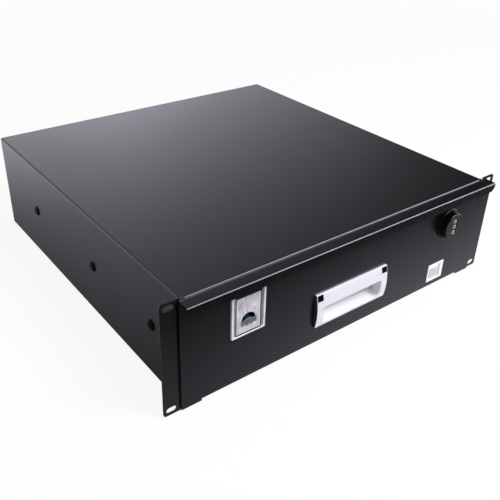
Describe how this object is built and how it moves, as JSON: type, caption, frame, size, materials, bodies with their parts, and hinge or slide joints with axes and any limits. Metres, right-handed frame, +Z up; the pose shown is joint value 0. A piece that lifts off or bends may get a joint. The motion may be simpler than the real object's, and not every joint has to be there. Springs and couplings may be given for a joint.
{
  "type": "sliding rack drawer",
  "caption": "Lockable sliding drawer for a 19-inch rack, with ball slides, a recessed pull handle, a slide latch and a combination cam lock.",
  "frame": {"origin": "middle of the four rack slots, on the front face of the ears", "axes": "+X to the right across the rack seen from the front, +Y from the front towards the back, +Z up"},
  "size_m": [0.4826, 0.468, 0.1326],
  "materials": {
    "powder_black": "satin black powder coat",
    "black_screw": "black oxide screw",
    "zinc_runner": "bright zinc plate",
    "ball_steel": "polished bearing steel",
    "zinc_screw": "zinc-plated screw",
    "handle_silver": "smooth silver-white enamel",
    "cap_black": "matt black plastic",
    "latch_zinc": "brushed zinc plate",
    "lock_black": "gloss black",
    "lock_metal": "nickel plate",
    "dial_cream": "cream plastic"
  },
  "bodies": {
    "case": {"case_shell": "powder_black", "floor_panel": "powder_black", "floor_rivets": "zinc_screw", "rear_panel": "powder_black", "case_screws_left": "black_screw", "case_screws_right": "black_screw", "slide_outer_left": "zinc_runner", "slide_outer_right": "zinc_runner"},
    "middle_left": {"slide_middle_left": "zinc_runner"},
    "middle_right": {"slide_middle_right": "zinc_runner"},
    "outer_cage_left": {"cage_outer_left": "zinc_runner", "balls_outer_left": "ball_steel"},
    "outer_cage_right": {"cage_outer_right": "zinc_runner", "balls_outer_right": "ball_steel"},
    "inner_cage_left": {"cage_inner_left": "zinc_runner", "balls_inner_left": "ball_steel"},
    "inner_cage_right": {"cage_inner_right": "zinc_runner", "balls_inner_right": "ball_steel"},
    "drawer": {"drawer_front": "powder_black", "drawer_tray": "powder_black", "slide_inner_left": "zinc_runner", "slide_inner_right": "zinc_runner", "tray_screws_left": "zinc_screw", "tray_screws_right": "zinc_screw", "handle_shell": "handle_silver", "handle_caps": "cap_black", "handle_screws": "zinc_screw", "handle_nuts": "zinc_screw", "latch_housing": "latch_zinc", "latch_cover": "latch_zinc", "lock_collar": "lock_black", "lock_barrel": "lock_metal", "lock_nut": "lock_metal"},
    "latch_bolt": {"latch_bolt": "latch_zinc"},
    "lock_rotor": {"lock_knob": "lock_black", "lock_spindle": "lock_metal", "dial_axle": "zinc_screw", "lock_cam": "zinc_runner", "cam_screw": "zinc_screw"},
    "dial_top": {"dial_top": "dial_cream"},
    "dial_middle": {"dial_middle": "dial_cream"},
    "dial_bottom": {"dial_bottom": "dial_cream"}
  },
  "joints": [
    {"name": "drawer_slide", "type": "slide", "parent": "case", "child": "drawer", "axis": [0, -1, 0], "range_m": [0, 0.4]},
    {"name": "middle_left_slide", "type": "slide", "parent": "case", "child": "middle_left", "axis": [0, -1, 0], "range_m": [0, 0.2]},
    {"name": "outer_cage_left_slide", "type": "slide", "parent": "case", "child": "outer_cage_left", "axis": [0, -1, 0], "range_m": [0, 0.1]},
    {"name": "inner_cage_left_slide", "type": "slide", "parent": "case", "child": "inner_cage_left", "axis": [0, -1, 0], "range_m": [0, 0.3]},
    {"name": "middle_right_slide", "type": "slide", "parent": "case", "child": "middle_right", "axis": [0, -1, 0], "range_m": [0, 0.2]},
    {"name": "outer_cage_right_slide", "type": "slide", "parent": "case", "child": "outer_cage_right", "axis": [0, -1, 0], "range_m": [0, 0.1]},
    {"name": "inner_cage_right_slide", "type": "slide", "parent": "case", "child": "inner_cage_right", "axis": [0, -1, 0], "range_m": [0, 0.3]},
    {"name": "latch_slide", "type": "slide", "parent": "drawer", "child": "latch_bolt", "axis": [0, 0, 1], "range_m": [0, 0.005]},
    {"name": "lock_turn", "type": "hinge", "parent": "drawer", "child": "lock_rotor", "pos_m": [0.16, 0, 0.0222], "axis": [0, 1, 0], "range_deg": [0, 90]},
    {"name": "dial_top_turn", "type": "hinge", "parent": "lock_rotor", "child": "dial_top", "pos_m": [0.16, -0.009, 0.0296], "axis": [0, 0, 1], "continuous": true},
    {"name": "dial_middle_turn", "type": "hinge", "parent": "lock_rotor", "child": "dial_middle", "pos_m": [0.16, -0.009, 0.0222], "axis": [0, 0, 1], "continuous": true},
    {"name": "dial_bottom_turn", "type": "hinge", "parent": "lock_rotor", "child": "dial_bottom", "pos_m": [0.16, -0.009, 0.0148], "axis": [0, 0, 1], "continuous": true}
  ],
  "couplings": [
    {"joint": "middle_left_slide", "follows": "drawer_slide", "ratio": 0.5},
    {"joint": "outer_cage_left_slide", "follows": "drawer_slide", "ratio": 0.25},
    {"joint": "inner_cage_left_slide", "follows": "drawer_slide", "ratio": 0.75},
    {"joint": "middle_right_slide", "follows": "drawer_slide", "ratio": 0.5},
    {"joint": "outer_cage_right_slide", "follows": "drawer_slide", "ratio": 0.25},
    {"joint": "inner_cage_right_slide", "follows": "drawer_slide", "ratio": 0.75}
  ]
}
